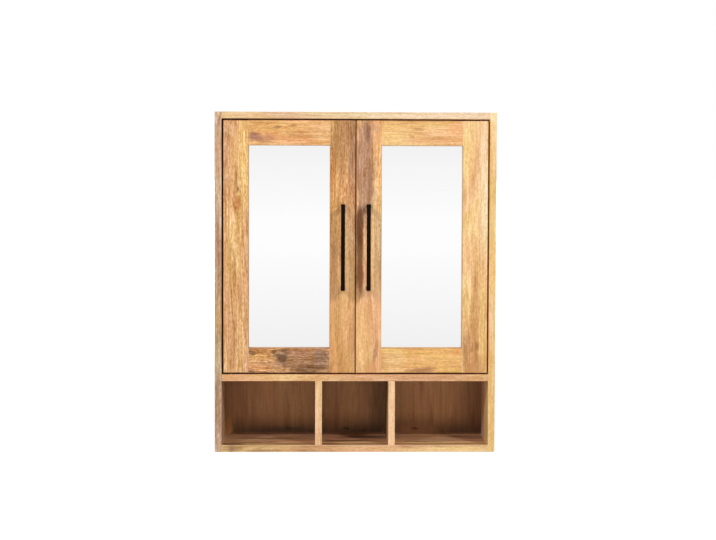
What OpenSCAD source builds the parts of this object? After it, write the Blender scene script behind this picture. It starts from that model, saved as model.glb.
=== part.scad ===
// Wall-hung mirror cabinet in solid wood: two framed mirror doors set flush into the case, on
// concealed pivot hinges, with an adjustable shelf behind them and three open cubbies below.
// +X is to the right of someone facing it, the front faces -Y and +Z is up. The origin lies
// between the two wall screw holes, on the plane of the wall.

/* [Case] */
// Width over the side panels
case_w = 660; // [560:10:800]
// Height of the side panels
case_h = 800; // [700:10:1000]
// Depth from the wall to the front edges
case_d = 165; // [145:5:240]
// Thickness of the case boards
board_t = 16; // [15:1:20]
// Clear height of the open cubbies
cubby_h = 152; // [110:2:220]
// Clear width of the middle cubby
mid_cubby_w = 156; // [110:2:210]
// Thickness of the back panel
back_t = 6; // [5:0.5:9]
// How far the back panel enters the boards round it
back_lap = 6; // [4:1:8]
// Depth of the housings that hold the middle shelf and the dividers
housing_depth = 5; // [3:0.5:6]
// Distance that the housings stop short of the front edges
housing_stop = 12; // [8:1:20]
// Chamfer on the exposed arrises of the wood
arris = 0.8; // [0.4:0.1:1.2]

/* [Wall rails] */
// Thickness of the rails behind the back panel
rail_t = 16; // [12:1:22]
// Height of the hanging rail
hang_rail_h = 60; // [50:1:80]
// Height of the lower rail, which keeps the case plumb
low_rail_h = 40; // [32:1:60]
// Distance between the wall screw holes
wall_hole_gap = 400; // [300:10:480]
// Diameter of the wall screw holes
wall_hole_d = 6.5; // [5:0.5:8]

/* [Inner shelf] */
// Thickness of the adjustable shelf
shelf_t = 16; // [12:1:18]
// Distance from the case front to the shelf, clear of the doors' swing
shelf_setback = 40; // [38:1:60]
// Diameter of the shelf support pins
support_pin_d = 5; // [4:0.5:6]
// Vertical step between the support holes
support_step = 32; // [25:1:50]
// Number of support holes in each row
support_rows = 3; // [1:2:7]

/* [Doors] */
// Thickness of the door frames
door_t = 20; // [18:1:22]
// Width of the stiles
stile_w = 60; // [54:1:80]
// Width of the top and bottom rails
door_rail_w = 59; // [50:1:80]
// Gap between a door and its side panel
hinge_gap = 3.4; // [2.8:0.1:3.6]
// Gap between the two doors
centre_gap = 2; // [1.5:0.1:3]
// Gap above and below the doors
door_gap = 3.3; // [2:0.1:3.5]
// Distance of the door fronts behind the case front
door_setback = 1; // [0:0.5:3]
// Thickness of the rail tenons
tenon_t = 6; // [5:0.5:8]

/* [Mirrors] */
// Thickness of the mirror glass
mirror_t = 4; // [3:0.5:5]
// How far the glass reaches behind the frame
mirror_lap = 8; // [6:1:10]
// Thickness of the frame lip in front of the glass
lip_t = 10; // [8:0.5:10]
// Thickness of the board that covers the glass from behind
cover_t = 5; // [3:0.5:5]
// How far the cover board reaches behind the frame
cover_lap = 18; // [16:1:20]
// Gap round the glass and the cover board
pane_gap = 0.6; // [0.3:0.1:1]

/* [Handles] */
// Distance between the handle screws
handle_centres = 192; // [128:32:256]
// Side of the square handle bar
bar_s = 9.5; // [8:0.5:12]
// Distance from the door front to the outside of the bar
handle_reach = 30; // [25:1:40]
// Distance from the meeting edge of the door to the middle of the bar
handle_inset = 29; // [22:1:34]
// Diameter of the handle screws
handle_screw_d = 4; // [3:0.5:5]

/* [Pivot hinges] */
// Diameter of the pivot pins
pin_d = 6; // [5:0.5:7]
// Thickness of the hinge plates
plate_t = 2.5; // [2:0.5:3]
// Width of the hinge plates
plate_w = 14; // [12:1:15]
// Length that the pins reach into the doors beyond their plates
pin_reach = 5; // [3:1:8]
// Outside diameter of the collars between the plates
collar_d = 12; // [10:1:14]

/* [Catches] */
// Distance from the meeting edge of a door to the middle of its catch
catch_inset = 30; // [28:1:36]
// Width of the catch body between its ears
catch_w = 26; // [24:1:30]
// Depth of the catch
catch_d = 14; // [12:1:18]
// Height of the catch body
catch_h = 15; // [14:1:18]
// Thickness of the strike plate
strike_t = 1.5; // [1:0.5:2]

/* [Hidden] */
// Clearances: glued joints, pins that turn, pins that are riveted, screws in their holes
glue_fit = 0.1;
turn_fit = 0.05;
rivet_fit = 0.02;
screw_fit = 0.05;
// Room that the swinging hinge edge, and the face of the open door, keep from the side panel
swing_room = 0.4;
face_room = 0.8;
// Angle that the doors open to
open_angle = 125;
// Room between a door plate and its collar, and between a closed door and its catch
collar_room = 0.2;
catch_room = 0.3;
// How far a cutter runs past the face that it cuts
past = 1;

// Dowels: diameter, depth in the side panel, depth in the board end, distances from the edges
dowel_d = 8;
dowel_side = 10;
dowel_end = 22;
dowel_front = 30;
dowel_back = 20;
hang_dowel_edge = 14;
low_dowel_edge = 10;

// Screws: diameter, length and head diameter of each kind
plate_screw = [3.5, 13, 6.6];
cover_screw = [3, 11, 5.6];
strike_screw = [3, 12, 5.4];
catch_screw = [3, 13, 5.6];
back_screw = [3, 20, 6];
pan_head = [8, 2.4];
handle_bite = 7;
handle_bore = 10;
handle_screw_room = 0.25;
back_screw_edge = 40;
cover_screw_edge = 38;

// Hinge plates: from the pin to the second screw and to the plate's end, and the wood bore's room
plate_screw_step = 11;
plate_beyond = 20;
pin_wood_room = 1;

// Tenons: distance from the door's edge, and the wood left round them
tenon_low = 10;
tenon_wall = 2;

// Shelf supports: width along the wall, reach under the shelf, height and metal thickness
support_w = 12;
support_reach = 11;
support_h = 10;
support_m = 1.5;
support_bite = 9;
support_inset = 22;
shelf_gap = 1;

// Catch: back wall, ears, magnet with its pole plates, and the strike
catch_wall = 2;
ear_l = 7;
ear_h = 5;
magnet_w = 20;
magnet_h = 6;
pole_t = 1.5;
pole_proud = 0.6;
strike_w = 32;
strike_h = 10;
strike_hole = 11;
catch_z = 8;

// Planes of the case
in_x = case_w / 2 - board_t;
z_top = board_t + hang_rail_h / 2;
z_ceiling = z_top - board_t;
z_foot = z_top - case_h;
z_cubby = z_foot + board_t;
z_deck = z_cubby + cubby_h;
z_hold = z_deck + board_t;
y_front = -case_d;
y_panel = -rail_t - back_t;
divider_x = mid_cubby_w / 2 + board_t / 2;

// Doors, seen from their hinge edge, front face and foot
door_w = in_x - hinge_gap - centre_gap / 2;
door_h = z_ceiling - z_hold - 2 * door_gap;
open_w = door_w - 2 * stile_w;
open_h = door_h - 2 * door_rail_w;
y_door = y_front + door_setback;
y_door_back = y_door + door_t;
z_door = z_hold + door_gap;

// The pin lies in the middle of the door's thickness, just far enough from the hinge edge that
// the corner swings past the side panel, and that the face of the fully open door clears its edge
corner_room = hinge_gap - swing_room;
corner_pin_x = (pow(door_t / 2, 2) - pow(corner_room, 2)) / (2 * corner_room);
past_square = open_angle - 90;
face_pin_x = (door_t / 2 + face_room + (door_t / 2 + door_setback) * sin(past_square))
  / cos(past_square) - hinge_gap;
pin_x = max(corner_pin_x, face_pin_x);
pin_y = door_t / 2;
plate_screws_x = [pin_x / 2 - 1, pin_x + plate_screw_step];
plate_len = pin_x + plate_beyond;
tenon_l = stile_w - plate_len - tenon_wall;
tenon_high = door_rail_w - cover_lap - 2 * tenon_wall;
pin_len = 2 * plate_t + door_gap + pin_reach;

// Inner shelf and its supports
z_shelf = (z_hold + z_ceiling - shelf_t) / 2;
y_shelf = y_front + shelf_setback;
support_ys = [y_shelf + support_inset, y_panel - shelf_gap - support_inset];
support_z = z_shelf - support_h / 2;

// Strikes and catches
strike_z = door_h + door_gap - catch_z;
catch_x = centre_gap / 2 + catch_inset;
y_pole = y_door_back + strike_t + catch_room;
y_catch = y_pole + pole_proud;

WOOD = [0.84, 0.65, 0.43];
PALE_WOOD = [0.93, 0.77, 0.58];
EDGE_WOOD = [0.76, 0.60, 0.46];
HONEY_WOOD = [0.88, 0.68, 0.45];
DARK_WOOD = [0.66, 0.50, 0.38];
BACK_WOOD = [0.52, 0.37, 0.25];
GLASS = [0.95, 0.96, 0.97];
BLACK = [0.08, 0.08, 0.08];
STEEL = [0.72, 0.73, 0.75];
BRASS = [0.78, 0.66, 0.38];
PLASTIC = [0.35, 0.24, 0.16];

// A rectangle whose four corners, from the low one round to the left, are chamfered or square
module eased_outline(w, h, corners) {
  c = arris;
  polygon(concat(
    corners[0] ? [[0, c], [c, 0]] : [[0, 0]],
    corners[1] ? [[w - c, 0], [w, c]] : [[w, 0]],
    corners[2] ? [[w, h - c], [w - c, h]] : [[w, h]],
    corners[3] ? [[c, h], [0, h - c]] : [[0, h]]
  ));
}

// A block with chamfers along the arrises that the three outlines name
module eased_block(size, plan, front, side) {
  intersection() {
    linear_extrude(size.z) eased_outline(size.x, size.y, plan);
    translate([0, size.y, 0]) rotate([90, 0, 0])
      linear_extrude(size.y) eased_outline(size.x, size.z, front);
    rotate([90, 0, 90]) linear_extrude(size.x) eased_outline(size.y, size.z, side);
  }
}
NONE = [0, 0, 0, 0];
ALL = [1, 1, 1, 1];

module at_both_sides() {
  children();
  mirror([1, 0, 0]) children();
}

// A screw that points down from its flush head, or the hole for it when room is given
module countersunk(screw, room = 0) {
  r = screw[0] / 2 + room;
  head_r = screw[2] / 2 + room;
  l = screw[1] + room;
  top = room > 0 ? past : 0;
  rotate_extrude($fn = 32)
    polygon([[0, top], [head_r, top], [head_r, 0], [r, r - head_r], [r, r - l], [0, -l]]);
}

// A dowel along +X that starts inside a side panel and ends inside a board, or its hole
module dowel(room = 0) {
  translate([in_x - dowel_end - room, 0, 0]) rotate([0, 90, 0])
    cylinder(d = dowel_d + 2 * room, h = dowel_side + dowel_end + 2 * room, $fn = 32);
}

module board_dowels(room = 0) {
  for (z = [z_top - board_t / 2, z_foot + board_t / 2])
    for (y = [y_front + dowel_front, (y_front + y_panel) / 2, y_panel - dowel_back])
      translate([0, y, z]) dowel(room);
}

module rail_dowels(room = 0) {
  for (z = [z_ceiling - hang_dowel_edge, z_ceiling - hang_rail_h + hang_dowel_edge,
            z_cubby + low_dowel_edge, z_cubby + low_rail_h - low_dowel_edge])
    translate([0, -rail_t / 2, z]) dowel(room);
}

// Groove for the back panel, as one slab that every board round the panel is cut by
module back_groove() {
  w = in_x + back_lap;
  translate([-w, y_panel - glue_fit, z_cubby - back_lap])
    cube([2 * w, back_t + 2 * glue_fit, z_ceiling - z_cubby + 2 * back_lap]);
}

// The right-hand side panel; the left one is its mirror image
module side_panel() {
  difference() {
    translate([in_x, y_front, z_foot])
      eased_block([board_t, case_d, case_h], [1, 1, 1, 0], [0, 1, 1, 0], [1, 0, 0, 1]);
    back_groove();
    board_dowels(glue_fit);
    rail_dowels(glue_fit);
    translate([in_x - past, y_front + housing_stop, z_deck - glue_fit])
      cube([housing_depth + past, y_panel - y_front - housing_stop, board_t + 2 * glue_fit]);
    for (y = support_ys, i = [0 : support_rows - 1])
      translate([in_x - past, y, support_z + (i - (support_rows - 1) / 2) * support_step])
        rotate([0, 90, 0])
          cylinder(d = support_pin_d + 2 * glue_fit, h = support_bite + past + glue_fit, $fn = 32);
  }
}

// A board that runs between the side panels, with its two front arrises eased
module cross_board(z, length, depth) {
  translate([-length / 2, y_front, z])
    eased_block([length, depth, board_t], NONE, NONE, [1, 0, 0, 1]);
}

module divider_housings(z) {
  at_both_sides()
    translate([divider_x - board_t / 2 - glue_fit, y_front + housing_stop, z])
      cube([board_t + 2 * glue_fit, y_panel - y_front - housing_stop, housing_depth]);
}

// Places its children on the pin's axis where a pin leaves its case plate towards the door,
// with +Z into the case board and +X away from the side panel
module at_case_plates(sides = [-1, 1], ends = [-1, 1]) {
  for (s = sides, e = ends)
    translate([s * (in_x - hinge_gap), y_door, e > 0 ? z_ceiling : z_hold])
      mirror([s > 0 ? 1 : 0, 0, 0]) mirror([0, 0, e > 0 ? 0 : 1]) children();
}

// The outline that both hinge plates share, with its long edges at the sides
module plate_slab(room = 0) {
  translate([-room, pin_y - plate_w / 2 - room, 0])
    cube([plate_len + 2 * room, plate_w + 2 * room, plate_t + room]);
}

module plate_screw_bodies(room = 0) {
  for (x = plate_screws_x) translate([x, pin_y, 0]) mirror([0, 0, 1]) countersunk(plate_screw, room);
}

// What a case plate takes out of the board that it is let into
module case_plate_cut() {
  translate([0, 0, -past]) linear_extrude(past + plate_t)
    translate([-glue_fit, pin_y - plate_w / 2 - glue_fit])
      square([plate_len + 2 * glue_fit, plate_w + 2 * glue_fit]);
  plate_screw_bodies(screw_fit);
}

module case_plate() {
  difference() {
    plate_slab();
    translate([pin_x, pin_y, -past]) cylinder(d = pin_d + 2 * rivet_fit, h = plate_t + 2 * past, $fn = 48);
    plate_screw_bodies(screw_fit);
  }
}

module catch_screw_bodies(room = 0) {
  for (s = [-1, 1])
    translate([catch_x + s * (catch_w + ear_l) / 2, y_catch + catch_d / 2, z_ceiling - ear_h])
      mirror([0, 0, 1]) countersunk(catch_screw, room);
}

module left_side_panel() { color(EDGE_WOOD) mirror([1, 0, 0]) side_panel(); }
module right_side_panel() { color(HONEY_WOOD) side_panel(); }

module top_board() {
  color(PALE_WOOD) difference() {
    translate([-in_x, y_front, z_ceiling])
      eased_block([2 * in_x, case_d, board_t], NONE, NONE, [1, 0, 1, 1]);
    back_groove();
    at_both_sides() board_dowels(glue_fit);
    at_case_plates(ends = [1]) case_plate_cut();
    at_both_sides() catch_screw_bodies(screw_fit);
  }
}

module bottom_board() {
  color(WOOD) difference() {
    cross_board(z_foot, 2 * in_x, case_d);
    back_groove();
    at_both_sides() board_dowels(glue_fit);
    divider_housings(z_cubby - housing_depth);
  }
}

// The shelf that carries the doors: its ends enter the side panels behind a front shoulder
module middle_shelf() {
  tongue = housing_depth - glue_fit;
  color(WOOD) difference() {
    cross_board(z_deck, 2 * (in_x + tongue), y_panel - y_front);
    at_both_sides()
      translate([in_x, y_front - past, z_deck - past])
        cube([tongue + past, housing_stop + glue_fit + past, board_t + 2 * past]);
    divider_housings(z_deck);
    at_case_plates(ends = [-1]) case_plate_cut();
    back_screw_bodies(screw_fit);
  }
}

module divider() {
  tongue = housing_depth - glue_fit;
  difference() {
    translate([divider_x - board_t / 2, y_front, z_cubby - tongue])
      eased_block([board_t, y_panel - y_front, cubby_h + 2 * tongue], [1, 1, 0, 0], NONE, NONE);
    for (z = [z_cubby - tongue - past, z_deck])
      translate([divider_x - board_t, y_front - past, z])
        cube([2 * board_t, housing_stop + glue_fit + past, tongue + past]);
    back_screw_bodies(screw_fit);
  }
}
module left_divider() { color(WOOD) mirror([1, 0, 0]) divider(); }
module right_divider() { color(PALE_WOOD) divider(); }

// Screws through the back panel into the rear edges of the middle shelf and the dividers
module back_screw_bodies(room = 0) {
  span = in_x - back_screw_edge;
  shelf_places = [for (i = [-1.5 : 1.5]) [i / 1.5 * span, z_deck + board_t / 2]];
  divider_places = [for (s = [-1, 1]) [s * divider_x, (z_cubby + low_rail_h + z_deck) / 2]];
  for (p = concat(shelf_places, divider_places)) translate([p.x, -rail_t, p.y])
    rotate([-90, 0, 0]) countersunk(back_screw, room);
}

module wall_holes() {
  for (s = [-1, 1]) translate([s * wall_hole_gap / 2, past, 0]) rotate([90, 0, 0])
    cylinder(d = wall_hole_d, h = rail_t + back_t + 2 * past, $fn = 48);
}

module back_panel() {
  reach = back_lap - pane_gap;
  color(BACK_WOOD) difference() {
    translate([-in_x - reach, y_panel, z_cubby - reach])
      cube([2 * (in_x + reach), back_t, z_ceiling - z_cubby + 2 * reach]);
    wall_holes();
    back_screw_bodies(screw_fit);
  }
}
module back_panel_screws() { color(STEEL) back_screw_bodies(); }

module hanging_rail() {
  color(WOOD) difference() {
    translate([-in_x, -rail_t, z_ceiling - hang_rail_h])
      eased_block([2 * in_x, rail_t, hang_rail_h], NONE, NONE, [0, 1, 0, 0]);
    at_both_sides() rail_dowels(glue_fit);
    wall_holes();
  }
}

module lower_rail() {
  color(WOOD) difference() {
    translate([-in_x, -rail_t, z_cubby])
      eased_block([2 * in_x, rail_t, low_rail_h], NONE, NONE, [0, 0, 1, 0]);
    at_both_sides() rail_dowels(glue_fit);
  }
}

module case_dowels() {
  color(PALE_WOOD) at_both_sides() {
    board_dowels();
    rail_dowels();
  }
}

module inner_shelf() {
  w = in_x - shelf_gap;
  color(WOOD) translate([-w, y_shelf, z_shelf])
    eased_block([2 * w, y_panel - shelf_gap - y_shelf, shelf_t], ALL, ALL, ALL);
}

// An angle with a pin behind it: the shelf rests on its upper leaf
module shelf_supports() {
  color(STEEL) at_both_sides() for (y = support_ys) translate([in_x, y, z_shelf]) {
    translate([-support_reach, -support_w / 2, -support_m]) cube([support_reach, support_w, support_m]);
    translate([-support_m, -support_w / 2, -support_h]) cube([support_m, support_w, support_h]);
    translate([-support_m, 0, -support_h / 2]) rotate([0, 90, 0])
      cylinder(d = support_pin_d, h = support_m + support_bite, $fn = 32);
  }
}

module left_upper_pivot_plate() { color(STEEL) at_case_plates([-1], [1]) case_plate(); }
module left_lower_pivot_plate() { color(STEEL) at_case_plates([-1], [-1]) case_plate(); }
module right_upper_pivot_plate() { color(STEEL) at_case_plates([1], [1]) case_plate(); }
module right_lower_pivot_plate() { color(STEEL) at_case_plates([1], [-1]) case_plate(); }

module pivot_pins() {
  color(STEEL) at_case_plates() translate([pin_x, pin_y, plate_t - pin_len])
    cylinder(d = pin_d, h = pin_len, $fn = 48);
}

module pivot_collars() {
  color(BRASS) at_case_plates() translate([pin_x, pin_y, collar_room - door_gap]) difference() {
    cylinder(d = collar_d, h = door_gap - collar_room, $fn = 48);
    translate([0, 0, -past]) cylinder(d = pin_d + 2 * turn_fit, h = door_gap + past, $fn = 48);
  }
}

module pivot_plate_screws() { color(STEEL) at_case_plates() plate_screw_bodies(); }

// Magnetic catch under the top board, for the right-hand door; the left one is its mirror image
module catch_case() {
  w = catch_w / 2;
  difference() {
    union() {
      translate([catch_x - w, y_catch, z_ceiling - catch_h]) cube([2 * w, catch_d, catch_h]);
      translate([catch_x - w - ear_l, y_catch, z_ceiling - ear_h])
        cube([2 * (w + ear_l), catch_d, ear_h]);
    }
    translate([catch_x - magnet_w / 2 - glue_fit, y_catch - past,
               z_ceiling - catch_z - magnet_h / 2 - pole_t - glue_fit])
      cube([magnet_w + 2 * glue_fit, catch_d - catch_wall + past, magnet_h + 2 * (pole_t + glue_fit)]);
    catch_screw_bodies(screw_fit);
  }
}

module catch_magnet() {
  depth = catch_d - catch_wall + pole_proud - glue_fit;
  translate([catch_x - magnet_w / 2, y_pole, z_ceiling - catch_z]) {
    translate([0, pole_proud, -magnet_h / 2]) cube([magnet_w, depth - pole_proud, magnet_h]);
    for (z = [-magnet_h / 2 - pole_t, magnet_h / 2]) translate([0, 0, z]) cube([magnet_w, depth, pole_t]);
  }
}

module left_catch_case() { color(PLASTIC) mirror([1, 0, 0]) catch_case(); }
module right_catch_case() { color(PLASTIC) catch_case(); }
module left_catch_magnet() { color(STEEL) mirror([1, 0, 0]) catch_magnet(); }
module right_catch_magnet() { color(STEEL) catch_magnet(); }
module catch_screws() { color(STEEL) at_both_sides() catch_screw_bodies(); }

// Places a door that is drawn from its hinge edge (+X to the meeting edge), front and foot
module in_left_door() { translate([hinge_gap - in_x, y_door, z_door]) children(); }
module in_right_door() { mirror([1, 0, 0]) in_left_door() children(); }

// The whole frame as one slab with its opening and rebates; stiles and rails are cut from it
module frame_slab() {
  difference() {
    eased_block([door_w, door_t, door_h], ALL, ALL, ALL);
    translate([stile_w, -past, door_rail_w]) cube([open_w, door_t + 2 * past, open_h]);
    pane_space(mirror_lap, lip_t);
    pane_space(cover_lap, lip_t + mirror_t);
    eased_mouth();
  }
}

// Chamfer round the front of the opening, mitred at its corners
module eased_mouth() {
  grow = arris + past;
  translate([stile_w, 0, door_rail_w]) intersection() {
    translate([0, 0, -grow]) linear_extrude(open_h + 2 * grow)
      polygon([[-grow, -past], [open_w + grow, -past], [open_w, arris], [0, arris]]);
    translate([-grow, 0, 0]) rotate([90, 0, 90]) linear_extrude(open_w + 2 * grow)
      polygon([[-past, -grow], [arris, 0], [arris, open_h], [-past, open_h + grow]]);
  }
}

// Rebate behind the opening, from a depth to the back of the door
module pane_space(lap, depth) {
  translate([stile_w - lap, depth, door_rail_w - lap])
    cube([open_w + 2 * lap, door_t - depth + past, open_h + 2 * lap]);
}

// Rail tenons at the foot of the door, or the mortises for them when room is given
module tenons(room = 0) {
  for (z = [tenon_low, door_h - tenon_high])
    translate([stile_w - tenon_l - room, (door_t - tenon_t) / 2 - room, z - room])
      cube([open_w + 2 * (tenon_l + room), tenon_t + 2 * room, tenon_high - tenon_low + 2 * room]);
}

// Places its children at a door edge on the pivot, with +Z out of the door
module at_door_ends(ends = [-1, 1]) {
  for (e = ends)
    translate([0, 0, e > 0 ? door_h : 0]) mirror([0, 0, e > 0 ? 0 : 1]) children();
}

module hinge_stile() {
  difference() {
    intersection() {
      frame_slab();
      cube([stile_w, door_t, door_h]);
    }
    tenons(glue_fit);
    at_door_ends() {
      translate([-past, pin_y - plate_w / 2 - glue_fit, -plate_t])
        cube([plate_len + past + glue_fit, plate_w + 2 * glue_fit, plate_t + past]);
      translate([pin_x, pin_y, -plate_t - pin_reach - past])
        cylinder(d = pin_d + 2 * pin_wood_room, h = plate_t + pin_reach + past, $fn = 48);
      bush_screw_bodies(screw_fit);
    }
  }
}

module bush_screw_bodies(room = 0) {
  for (x = plate_screws_x) translate([x, pin_y, 0]) countersunk(plate_screw, room);
}

// Plate let into the end of the door, open at the hinge edge, with the hole that turns on the pin
module bush_plate() {
  difference() {
    translate([arris, pin_y - plate_w / 2, -plate_t]) cube([plate_len - arris, plate_w, plate_t]);
    translate([pin_x, pin_y, -plate_t - past])
      cylinder(d = pin_d + 2 * turn_fit, h = plate_t + 2 * past, $fn = 48);
    bush_screw_bodies(screw_fit);
  }
}

module handle_places() {
  for (s = [-1, 1])
    translate([door_w - handle_inset, 0, (door_h + s * handle_centres) / 2]) children();
}

module meeting_stile() {
  difference() {
    intersection() {
      frame_slab();
      translate([door_w - stile_w, 0, 0]) cube([stile_w, door_t, door_h]);
    }
    tenons(glue_fit);
    handle_places() translate([0, -past, 0]) rotate([-90, 0, 0])
      cylinder(d = handle_screw_d + 2 * handle_screw_room, h = door_t + 2 * past, $fn = 32);
    strike_screw_bodies(screw_fit);
  }
}

// A rail with a tenon at each end, at the foot of the door or at its head
module door_rail(z) {
  intersection() {
    union() {
      intersection() {
        frame_slab();
        translate([stile_w, 0, 0]) cube([open_w, door_t, door_h]);
      }
      tenons();
    }
    translate([0, 0, z]) cube([door_w, door_t, door_rail_w]);
  }
}

module pane(lap, depth, t) {
  edge = lap - pane_gap;
  translate([stile_w - edge, depth, door_rail_w - edge])
    cube([open_w + 2 * edge, t, open_h + 2 * edge]);
}

// Screws along the border of the cover board, outside the glass
module cover_screw_bodies(room = 0) {
  out = (mirror_lap + cover_lap) / 2;
  side = open_h / 2 - cover_screw_edge;
  places = concat(
    [for (x = [stile_w - out, door_w - stile_w + out], z = [-side, 0, side]) [x, door_h / 2 + z]],
    [for (z = [door_rail_w - out, door_h - door_rail_w + out]) [door_w / 2, z]]
  );
  for (p = places) translate([p.x, lip_t + mirror_t + cover_t, p.y]) rotate([-90, 0, 0])
    countersunk(cover_screw, room);
}

module mirror_cover() {
  difference() {
    pane(cover_lap, lip_t + mirror_t, cover_t);
    cover_screw_bodies(screw_fit);
  }
}

// The wood of the frame takes the cover screws in plain holes
module framed() {
  difference() {
    children();
    cover_screw_bodies(screw_fit);
  }
}

// Square bar bent back at both ends, with a tapped hole up each leg
module handle() {
  l = handle_centres + bar_s;
  difference() {
    translate([door_w - handle_inset - bar_s / 2, -handle_reach, (door_h - l) / 2]) difference() {
      eased_block([bar_s, handle_reach, l], [1, 1, 0, 0], ALL, [1, 0, 0, 1]);
      translate([-past, bar_s, bar_s]) cube([bar_s + 2 * past, handle_reach, l - 2 * bar_s]);
    }
    handle_places() rotate([90, 0, 0]) translate([0, 0, -past])
      cylinder(d = handle_screw_d + 2 * screw_fit, h = handle_bore + past, $fn = 32);
  }
}

module handle_screws() {
  handle_places() {
    translate([0, door_t, 0]) rotate([-90, 0, 0]) cylinder(d = pan_head[0], h = pan_head[1], $fn = 32);
    translate([0, -handle_bite, 0]) rotate([-90, 0, 0])
      cylinder(d = handle_screw_d, h = door_t + handle_bite + pan_head[1] / 2, $fn = 32);
  }
}

module strike_screw_bodies(room = 0) {
  for (s = [-1, 1])
    translate([door_w - catch_inset + s * strike_hole, door_t + strike_t, strike_z])
      rotate([-90, 0, 0]) countersunk(strike_screw, room);
}

module strike_plate() {
  difference() {
    translate([door_w - catch_inset - strike_w / 2, door_t, strike_z - strike_h / 2])
      cube([strike_w, strike_t, strike_h]);
    strike_screw_bodies(screw_fit);
  }
}

module left_hinge_stile() { color(HONEY_WOOD) in_left_door() framed() hinge_stile(); }
module left_meeting_stile() { color(DARK_WOOD) in_left_door() framed() meeting_stile(); }
module left_top_rail() { color(WOOD) in_left_door() framed() door_rail(door_h - door_rail_w); }
module left_bottom_rail() { color(WOOD) in_left_door() framed() door_rail(0); }
module left_mirror() { color(GLASS) in_left_door() pane(mirror_lap, lip_t, mirror_t); }
module left_mirror_cover() { color(BACK_WOOD) in_left_door() mirror_cover(); }
module left_cover_screws() { color(STEEL) in_left_door() cover_screw_bodies(); }
module left_upper_bush_plate() { color(STEEL) in_left_door() at_door_ends([1]) bush_plate(); }
module left_lower_bush_plate() { color(STEEL) in_left_door() at_door_ends([-1]) bush_plate(); }
module left_bush_plate_screws() { color(STEEL) in_left_door() at_door_ends() bush_screw_bodies(); }
module left_handle() { color(BLACK) in_left_door() handle(); }
module left_handle_screws() { color(STEEL) in_left_door() handle_screws(); }
module left_strike_plate() { color(STEEL) in_left_door() strike_plate(); }
module left_strike_screws() { color(STEEL) in_left_door() strike_screw_bodies(); }

module right_hinge_stile() { color(HONEY_WOOD) in_right_door() framed() hinge_stile(); }
module right_meeting_stile() { color(DARK_WOOD) in_right_door() framed() meeting_stile(); }
module right_top_rail() { color(WOOD) in_right_door() framed() door_rail(door_h - door_rail_w); }
module right_bottom_rail() { color(WOOD) in_right_door() framed() door_rail(0); }
module right_mirror() { color(GLASS) in_right_door() pane(mirror_lap, lip_t, mirror_t); }
module right_mirror_cover() { color(BACK_WOOD) in_right_door() mirror_cover(); }
module right_cover_screws() { color(STEEL) in_right_door() cover_screw_bodies(); }
module right_upper_bush_plate() { color(STEEL) in_right_door() at_door_ends([1]) bush_plate(); }
module right_lower_bush_plate() { color(STEEL) in_right_door() at_door_ends([-1]) bush_plate(); }
module right_bush_plate_screws() { color(STEEL) in_right_door() at_door_ends() bush_screw_bodies(); }
module right_handle() { color(BLACK) in_right_door() handle(); }
module right_handle_screws() { color(STEEL) in_right_door() handle_screws(); }
module right_strike_plate() { color(STEEL) in_right_door() strike_plate(); }
module right_strike_screws() { color(STEEL) in_right_door() strike_screw_bodies(); }

left_side_panel();
right_side_panel();
top_board();
bottom_board();
middle_shelf();
left_divider();
right_divider();
back_panel();
hanging_rail();
lower_rail();
inner_shelf();
shelf_supports();
case_dowels();
back_panel_screws();
left_upper_pivot_plate();
left_lower_pivot_plate();
right_upper_pivot_plate();
right_lower_pivot_plate();
pivot_pins();
pivot_collars();
pivot_plate_screws();
left_catch_case();
right_catch_case();
left_catch_magnet();
right_catch_magnet();
catch_screws();
left_hinge_stile();
left_meeting_stile();
left_top_rail();
left_bottom_rail();
left_mirror();
left_mirror_cover();
left_cover_screws();
left_upper_bush_plate();
left_lower_bush_plate();
left_bush_plate_screws();
left_handle();
left_handle_screws();
left_strike_plate();
left_strike_screws();
right_hinge_stile();
right_meeting_stile();
right_top_rail();
right_bottom_rail();
right_mirror();
right_mirror_cover();
right_cover_screws();
right_upper_bush_plate();
right_lower_bush_plate();
right_bush_plate_screws();
right_handle();
right_handle_screws();
right_strike_plate();
right_strike_screws();
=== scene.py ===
import math

import bmesh
import bpy
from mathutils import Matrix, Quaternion, Vector


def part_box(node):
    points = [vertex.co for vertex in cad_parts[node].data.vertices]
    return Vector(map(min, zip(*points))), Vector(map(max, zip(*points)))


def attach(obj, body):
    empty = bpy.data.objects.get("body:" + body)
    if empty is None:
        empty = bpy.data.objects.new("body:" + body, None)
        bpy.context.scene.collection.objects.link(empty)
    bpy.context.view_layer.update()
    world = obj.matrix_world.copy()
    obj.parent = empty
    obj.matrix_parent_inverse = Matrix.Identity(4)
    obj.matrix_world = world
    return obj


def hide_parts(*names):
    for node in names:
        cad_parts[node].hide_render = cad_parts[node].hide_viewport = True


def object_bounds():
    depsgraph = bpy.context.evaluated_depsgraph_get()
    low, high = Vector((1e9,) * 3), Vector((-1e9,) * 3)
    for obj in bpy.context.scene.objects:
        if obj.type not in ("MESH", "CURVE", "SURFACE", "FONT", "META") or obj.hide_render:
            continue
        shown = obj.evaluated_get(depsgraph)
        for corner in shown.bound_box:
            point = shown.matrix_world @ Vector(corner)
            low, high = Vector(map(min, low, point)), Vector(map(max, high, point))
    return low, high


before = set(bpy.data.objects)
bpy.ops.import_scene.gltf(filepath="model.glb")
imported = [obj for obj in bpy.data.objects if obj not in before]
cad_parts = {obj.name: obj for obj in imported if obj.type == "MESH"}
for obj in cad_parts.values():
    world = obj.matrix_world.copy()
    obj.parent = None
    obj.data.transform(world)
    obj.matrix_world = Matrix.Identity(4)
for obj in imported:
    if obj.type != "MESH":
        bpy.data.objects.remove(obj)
cad_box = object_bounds()
MM = 0.001

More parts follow.
